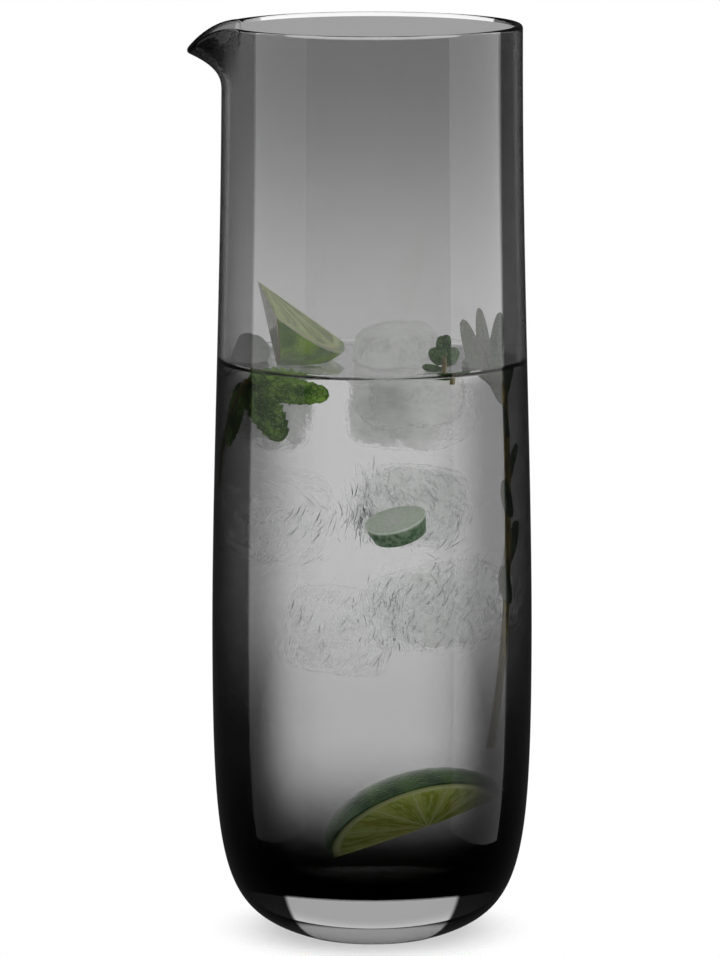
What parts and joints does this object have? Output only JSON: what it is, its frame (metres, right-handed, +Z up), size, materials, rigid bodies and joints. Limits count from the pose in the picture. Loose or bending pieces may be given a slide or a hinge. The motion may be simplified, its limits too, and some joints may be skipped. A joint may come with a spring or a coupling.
{
  "type": "cocktail pitcher",
  "caption": "Tall smoked glass pitcher with a heavy clear base and a small pouring lip, filled with a clear iced drink, lime and fresh herbs.",
  "frame": {"origin": "centre of the flat that the pitcher stands on, on the axis of the vessel", "axes": "+Z up along the vessel's axis, out of the mouth; the spout points to -X"},
  "size_m": [0.1127, 0.1052, 0.3],
  "materials": {
    "clear_glass": "polished",
    "smoked_glass": "polished",
    "drink": "gloss",
    "ice": "gloss",
    "lime_peel": "satin",
    "lime_flesh": "gloss",
    "mint_leaf": "satin",
    "herb_leaf": "satin"
  },
  "bodies": {
    "vessel": {"glass_shell": "clear_glass", "smoke_layer": "smoked_glass", "drink": "drink", "ice_upper_left": "ice", "ice_upper_right": "ice", "ice_middle_left": "ice", "ice_middle_back": "ice", "ice_lower_front": "ice", "ice_lower_right": "ice", "ice_chip": "ice", "lime_low_peel": "lime_peel", "lime_low_flesh": "lime_flesh", "lime_slice_peel": "lime_peel", "lime_slice_flesh": "lime_flesh", "mint_sprig": "mint_leaf", "mint_tip": "mint_leaf"},
    "lime_wedge": {"lime_wedge_peel": "lime_peel", "lime_wedge_flesh": "lime_flesh"},
    "top_ice": {"ice_top": "ice"},
    "herb": {"herb_sprig": "herb_leaf"}
  },
  "joints": [
    {"name": "lime_wedge_lift", "type": "slide", "parent": "vessel", "child": "lime_wedge", "axis": [0, 0, 1], "range_m": [0, 0.13], "deforming": ["drink"]},
    {"name": "top_ice_lift", "type": "slide", "parent": "vessel", "child": "top_ice", "axis": [0, 0, 1], "range_m": [0, 0.15], "deforming": ["drink"]},
    {"name": "herb_lift", "type": "slide", "parent": "vessel", "child": "herb", "axis": [0, 0, 1], "range_m": [0, 0.26], "deforming": ["drink"]}
  ]
}
